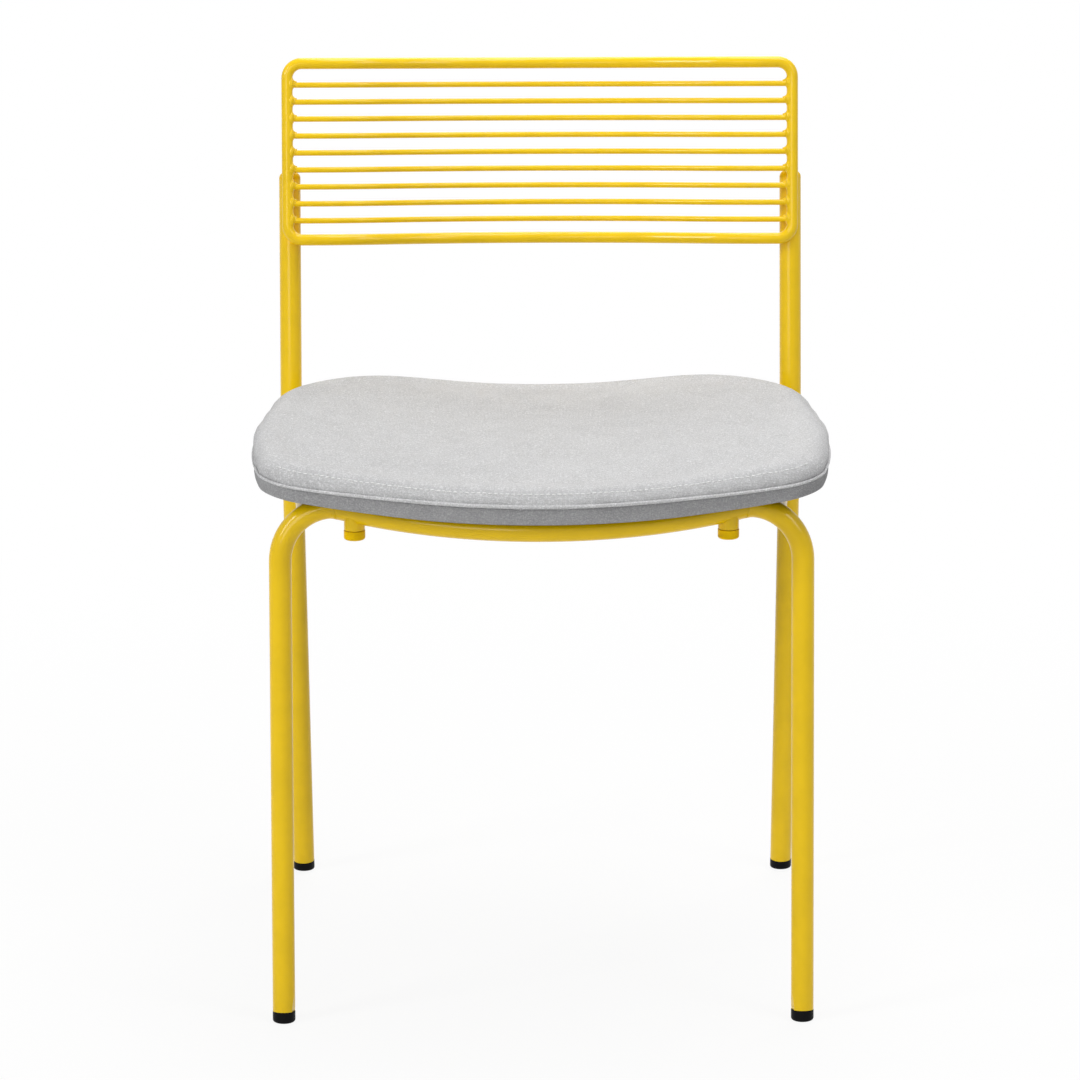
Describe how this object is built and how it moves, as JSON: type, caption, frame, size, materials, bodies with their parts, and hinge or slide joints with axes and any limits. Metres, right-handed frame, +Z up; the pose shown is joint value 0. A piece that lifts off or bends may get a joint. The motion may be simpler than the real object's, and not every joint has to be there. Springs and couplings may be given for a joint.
{
  "type": "dining chair",
  "caption": "Welded tube dining chair with raked legs, a bowed back of level wires in a rod loop, and a dished upholstered seat pad on hidden rails.",
  "frame": {"origin": "on the floor, at the middle of the chair's width and depth", "axes": "+Z up, -Y the way the sitter faces, +X to the right as seen from the front"},
  "size_m": [0.4912, 0.5136, 0.753],
  "materials": {
    "yellow_powder_coat": "glossy yellow powder coat on steel",
    "yellow_plastic": "glossy moulded plastic, matched to the frame",
    "black_plastic": "satin black moulded plastic",
    "grey_fabric": "light grey heathered weave",
    "foam": "open-cell upholstery foam",
    "plywood": "bare moulded plywood",
    "black_lining": "thin black non-woven lining",
    "zinc_steel": "zinc-plated steel"
  },
  "bodies": {
    "root": {"back_loop": "yellow_powder_coat", "back_wire_1": "yellow_powder_coat", "back_wire_2": "yellow_powder_coat", "back_wire_3": "yellow_powder_coat", "back_wire_4": "yellow_powder_coat", "back_wire_5": "yellow_powder_coat", "back_wire_6": "yellow_powder_coat", "back_wire_7": "yellow_powder_coat", "back_wire_8": "yellow_powder_coat", "back_wire_9": "yellow_powder_coat", "bumper_cap_left": "yellow_plastic", "bumper_cap_right": "yellow_plastic", "bumper_stub_left": "yellow_powder_coat", "bumper_stub_right": "yellow_powder_coat", "frame_welds": "yellow_powder_coat", "front_leg_left": "yellow_powder_coat", "front_leg_right": "yellow_powder_coat", "front_rail": "yellow_powder_coat", "glide_front_left": "black_plastic", "glide_front_right": "black_plastic", "glide_rear_left": "black_plastic", "glide_rear_right": "black_plastic", "loop_welds": "yellow_powder_coat", "rear_rail": "yellow_powder_coat", "rear_upright_left": "yellow_powder_coat", "rear_upright_right": "yellow_powder_coat", "seat_board": "plywood", "seat_border": "grey_fabric", "seat_cover": "grey_fabric", "seat_dust_cover": "black_lining", "seat_foam": "foam", "seat_screws": "zinc_steel", "seat_tabs": "yellow_powder_coat", "seat_tee_nuts": "zinc_steel", "seat_welt": "grey_fabric", "side_rail_left": "yellow_powder_coat", "side_rail_right": "yellow_powder_coat", "upright_cap_left": "yellow_plastic", "upright_cap_right": "yellow_plastic", "wire_welds": "yellow_powder_coat"}
  },
  "joints": []
}
